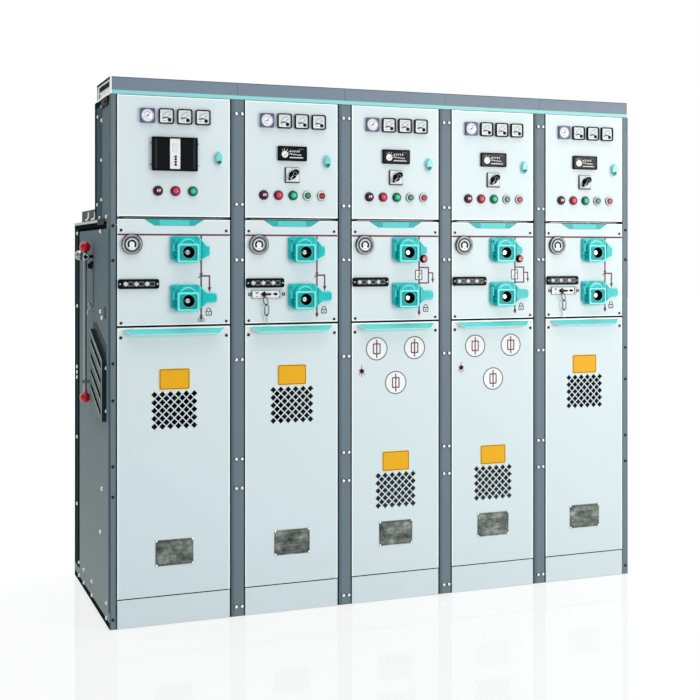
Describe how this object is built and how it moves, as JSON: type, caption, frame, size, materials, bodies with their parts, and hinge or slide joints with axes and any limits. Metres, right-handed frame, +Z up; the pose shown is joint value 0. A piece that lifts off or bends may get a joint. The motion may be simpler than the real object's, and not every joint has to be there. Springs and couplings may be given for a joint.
{
  "type": "ring main unit",
  "caption": "Row of metal-enclosed switchgear bays: hinged instrument doors, tilt-out cable doors, rotary switch shafts in cyan covers, header wireway and anchored base.",
  "frame": {"origin": "on the floor, at the middle of the four anchor holes, which is the middle of the body's plan", "axes": "+X along the row to the right seen from the front, +Y from the front panels to the rear covers, +Z up"},
  "size_m": [2.4219, 0.942, 2.15],
  "materials": {
    "panel_paint": "satin powder coat, pale blue-white",
    "strip_paint": "satin powder coat, blue-grey",
    "header_paint": "satin powder coat, blue-grey with a cyan stripe",
    "side_paint": "matt powder coat, dark grey",
    "frame_paint": "matt powder coat, near black",
    "galvanised": "galvanised sheet",
    "zinc_steel": "bright zinc plated",
    "shaft_steel": "turned steel; the lever's knobs are red plastic",
    "cyan_plastic": "gloss moulded plastic, cyan",
    "black_plastic": "satin moulded plastic, black, with clear windows",
    "green_plastic": "gloss moulded plastic, green",
    "red_plastic": "gloss moulded plastic, red",
    "copper": "bare copper bar",
    "resin": "cast resin, red-brown",
    "resin_pale": "cast resin, glazed fuse tubes"
  },
  "bodies": {
    "cabinet": {"base_and_posts": "frame_paint", "end_panels": "side_paint", "partition_walls": "galvanised", "rear_and_roof_covers": "side_paint", "instrument_boxes": "galvanised", "header_duct": "header_paint", "cover_strips": "strip_paint", "fasteners": "zinc_steel", "front_panels": "panel_paint", "panel_indicators": "black_plastic", "mechanism_covers": "cyan_plastic", "key_interlocks": "zinc_steel", "busbars": "copper", "switch_units": "resin", "fuses_and_transformers": "resin_pale"},
    "door_1": {"instrument_door_1": "panel_paint", "door_instruments_1": "black_plastic"},
    "lock_1": {"door_lock_1": "cyan_plastic"},
    "cable_door_1": {"cable_door_1": "panel_paint"},
    "load_shaft_1": {"load_switch_shaft_1": "shaft_steel"},
    "earth_shaft_1": {"earth_switch_shaft_1": "shaft_steel"},
    "door_2": {"instrument_door_2": "panel_paint", "door_instruments_2": "black_plastic"},
    "lock_2": {"door_lock_2": "cyan_plastic"},
    "selector_2": {"selector_knob_2": "black_plastic"},
    "close_button_2": {"close_button_2": "green_plastic"},
    "open_button_2": {"open_button_2": "red_plastic"},
    "cable_door_2": {"cable_door_2": "panel_paint"},
    "load_shaft_2": {"load_switch_shaft_2": "shaft_steel"},
    "earth_shaft_2": {"earth_switch_shaft_2": "shaft_steel"},
    "door_3": {"instrument_door_3": "panel_paint", "door_instruments_3": "black_plastic"},
    "lock_3": {"door_lock_3": "cyan_plastic"},
    "selector_3": {"selector_knob_3": "black_plastic"},
    "close_button_3": {"close_button_3": "green_plastic"},
    "open_button_3": {"open_button_3": "red_plastic"},
    "cable_door_3": {"cable_door_3": "panel_paint"},
    "load_shaft_3": {"load_switch_shaft_3": "shaft_steel"},
    "earth_shaft_3": {"earth_switch_shaft_3": "shaft_steel"},
    "trip_button_3": {"fuse_trip_button_3": "red_plastic"},
    "door_4": {"instrument_door_4": "panel_paint", "door_instruments_4": "black_plastic"},
    "lock_4": {"door_lock_4": "cyan_plastic"},
    "selector_4": {"selector_knob_4": "black_plastic"},
    "close_button_4": {"close_button_4": "green_plastic"},
    "open_button_4": {"open_button_4": "red_plastic"},
    "cable_door_4": {"cable_door_4": "panel_paint"},
    "load_shaft_4": {"load_switch_shaft_4": "shaft_steel"},
    "earth_shaft_4": {"earth_switch_shaft_4": "shaft_steel"},
    "trip_button_4": {"fuse_trip_button_4": "red_plastic"},
    "door_5": {"instrument_door_5": "panel_paint", "door_instruments_5": "black_plastic"},
    "lock_5": {"door_lock_5": "cyan_plastic"},
    "selector_5": {"selector_knob_5": "black_plastic"},
    "close_button_5": {"close_button_5": "green_plastic"},
    "open_button_5": {"open_button_5": "red_plastic"},
    "cable_door_5": {"cable_door_5": "panel_paint"},
    "load_shaft_5": {"load_switch_shaft_5": "shaft_steel"},
    "earth_shaft_5": {"earth_switch_shaft_5": "shaft_steel"},
    "lever": {"operating_lever": "shaft_steel"}
  },
  "joints": [
    {"name": "door_1_hinge", "type": "hinge", "parent": "cabinet", "child": "door_1", "pos_m": [-1.147, -0.445, 1.8445], "axis": [0, 0, -1], "range_deg": [0, 110]},
    {"name": "lock_1_turn", "type": "hinge", "parent": "door_1", "child": "lock_1", "pos_m": [-0.747, -0.45, 1.842], "axis": [0, -1, 0], "range_deg": [0, 90]},
    {"name": "cable_door_1_tilt", "type": "hinge", "parent": "cabinet", "child": "cable_door_1", "pos_m": [-0.926, -0.438, 0.128], "axis": [1, 0, 0], "range_deg": [0, 30]},
    {"name": "load_shaft_1_turn", "type": "hinge", "parent": "cabinet", "child": "load_shaft_1", "pos_m": [-0.876, -0.45, 1.467], "axis": [0, -1, 0], "range_deg": [0, 90]},
    {"name": "earth_shaft_1_turn", "type": "hinge", "parent": "cabinet", "child": "earth_shaft_1", "pos_m": [-0.876, -0.45, 1.275], "axis": [0, -1, 0], "range_deg": [0, 90]},
    {"name": "door_2_hinge", "type": "hinge", "parent": "cabinet", "child": "door_2", "pos_m": [-0.631, -0.445, 1.8445], "axis": [0, 0, -1], "range_deg": [0, 110]},
    {"name": "lock_2_turn", "type": "hinge", "parent": "door_2", "child": "lock_2", "pos_m": [-0.285, -0.45, 1.842], "axis": [0, -1, 0], "range_deg": [0, 90]},
    {"name": "selector_2_turn", "type": "hinge", "parent": "door_2", "child": "selector_2", "pos_m": [-0.437, -0.45, 1.783], "axis": [0, -1, 0], "range_deg": [0, 90]},
    {"name": "close_button_2_press", "type": "slide", "parent": "door_2", "child": "close_button_2", "axis": [0, 1, 0], "range_m": [0, 0.004], "stiffness_N_per_m": 500},
    {"name": "open_button_2_press", "type": "slide", "parent": "door_2", "child": "open_button_2", "axis": [0, 1, 0], "range_m": [0, 0.004], "stiffness_N_per_m": 500},
    {"name": "cable_door_2_tilt", "type": "hinge", "parent": "cabinet", "child": "cable_door_2", "pos_m": [-0.437, -0.438, 0.128], "axis": [1, 0, 0], "range_deg": [0, 30]},
    {"name": "load_shaft_2_turn", "type": "hinge", "parent": "cabinet", "child": "load_shaft_2", "pos_m": [-0.387, -0.45, 1.467], "axis": [0, -1, 0], "range_deg": [0, 90]},
    {"name": "earth_shaft_2_turn", "type": "hinge", "parent": "cabinet", "child": "earth_shaft_2", "pos_m": [-0.387, -0.45, 1.275], "axis": [0, -1, 0], "range_deg": [0, 90]},
    {"name": "door_3_hinge", "type": "hinge", "parent": "cabinet", "child": "door_3", "pos_m": [-0.169, -0.445, 1.8445], "axis": [0, 0, -1], "range_deg": [0, 110]},
    {"name": "lock_3_turn", "type": "hinge", "parent": "door_3", "child": "lock_3", "pos_m": [0.177, -0.45, 1.842], "axis": [0, -1, 0], "range_deg": [0, 90]},
    {"name": "selector_3_turn", "type": "hinge", "parent": "door_3", "child": "selector_3", "pos_m": [0.025, -0.45, 1.783], "axis": [0, -1, 0], "range_deg": [0, 90]},
    {"name": "close_button_3_press", "type": "slide", "parent": "door_3", "child": "close_button_3", "axis": [0, 1, 0], "range_m": [0, 0.004], "stiffness_N_per_m": 500},
    {"name": "open_button_3_press", "type": "slide", "parent": "door_3", "child": "open_button_3", "axis": [0, 1, 0], "range_m": [0, 0.004], "stiffness_N_per_m": 500},
    {"name": "cable_door_3_tilt", "type": "hinge", "parent": "cabinet", "child": "cable_door_3", "pos_m": [0.025, -0.438, 0.128], "axis": [1, 0, 0], "range_deg": [0, 30]},
    {"name": "load_shaft_3_turn", "type": "hinge", "parent": "cabinet", "child": "load_shaft_3", "pos_m": [0.075, -0.45, 1.467], "axis": [0, -1, 0], "range_deg": [0, 90]},
    {"name": "earth_shaft_3_turn", "type": "hinge", "parent": "cabinet", "child": "earth_shaft_3", "pos_m": [0.075, -0.45, 1.275], "axis": [0, -1, 0], "range_deg": [0, 90]},
    {"name": "trip_button_3_press", "type": "slide", "parent": "cabinet", "child": "trip_button_3", "axis": [0, 1, 0], "range_m": [0, 0.005], "stiffness_N_per_m": 600},
    {"name": "door_4_hinge", "type": "hinge", "parent": "cabinet", "child": "door_4", "pos_m": [0.293, -0.445, 1.8445], "axis": [0, 0, -1], "range_deg": [0, 110]},
    {"name": "lock_4_turn", "type": "hinge", "parent": "door_4", "child": "lock_4", "pos_m": [0.639, -0.45, 1.842], "axis": [0, -1, 0], "range_deg": [0, 90]},
    {"name": "selector_4_turn", "type": "hinge", "parent": "door_4", "child": "selector_4", "pos_m": [0.487, -0.45, 1.783], "axis": [0, -1, 0], "range_deg": [0, 90]},
    {"name": "close_button_4_press", "type": "slide", "parent": "door_4", "child": "close_button_4", "axis": [0, 1, 0], "range_m": [0, 0.004], "stiffness_N_per_m": 500},
    {"name": "open_button_4_press", "type": "slide", "parent": "door_4", "child": "open_button_4", "axis": [0, 1, 0], "range_m": [0, 0.004], "stiffness_N_per_m": 500},
    {"name": "cable_door_4_tilt", "type": "hinge", "parent": "cabinet", "child": "cable_door_4", "pos_m": [0.487, -0.438, 0.128], "axis": [1, 0, 0], "range_deg": [0, 30]},
    {"name": "load_shaft_4_turn", "type": "hinge", "parent": "cabinet", "child": "load_shaft_4", "pos_m": [0.537, -0.45, 1.467], "axis": [0, -1, 0], "range_deg": [0, 90]},
    {"name": "earth_shaft_4_turn", "type": "hinge", "parent": "cabinet", "child": "earth_shaft_4", "pos_m": [0.537, -0.45, 1.275], "axis": [0, -1, 0], "range_deg": [0, 90]},
    {"name": "trip_button_4_press", "type": "slide", "parent": "cabinet", "child": "trip_button_4", "axis": [0, 1, 0], "range_m": [0, 0.005], "stiffness_N_per_m": 600},
    {"name": "door_5_hinge", "type": "hinge", "parent": "cabinet", "child": "door_5", "pos_m": [0.755, -0.445, 1.8445], "axis": [0, 0, -1], "range_deg": [0, 110]},
    {"name": "lock_5_turn", "type": "hinge", "parent": "door_5", "child": "lock_5", "pos_m": [1.101, -0.45, 1.842], "axis": [0, -1, 0], "range_deg": [0, 90]},
    {"name": "selector_5_turn", "type": "hinge", "parent": "door_5", "child": "selector_5", "pos_m": [0.949, -0.45, 1.783], "axis": [0, -1, 0], "range_deg": [0, 90]},
    {"name": "close_button_5_press", "type": "slide", "parent": "door_5", "child": "close_button_5", "axis": [0, 1, 0], "range_m": [0, 0.004], "stiffness_N_per_m": 500},
    {"name": "open_button_5_press", "type": "slide", "parent": "door_5", "child": "open_button_5", "axis": [0, 1, 0], "range_m": [0, 0.004], "stiffness_N_per_m": 500},
    {"name": "cable_door_5_tilt", "type": "hinge", "parent": "cabinet", "child": "cable_door_5", "pos_m": [0.949, -0.438, 0.128], "axis": [1, 0, 0], "range_deg": [0, 30]},
    {"name": "load_shaft_5_turn", "type": "hinge", "parent": "cabinet", "child": "load_shaft_5", "pos_m": [0.999, -0.45, 1.467], "axis": [0, -1, 0], "range_deg": [0, 90]},
    {"name": "earth_shaft_5_turn", "type": "hinge", "parent": "cabinet", "child": "earth_shaft_5", "pos_m": [0.999, -0.45, 1.275], "axis": [0, -1, 0], "range_deg": [0, 90]},
    {"name": "lever_unclip", "type": "slide", "parent": "cabinet", "child": "lever", "axis": [-1, 0, 0], "range_m": [0, 0.12]}
  ]
}
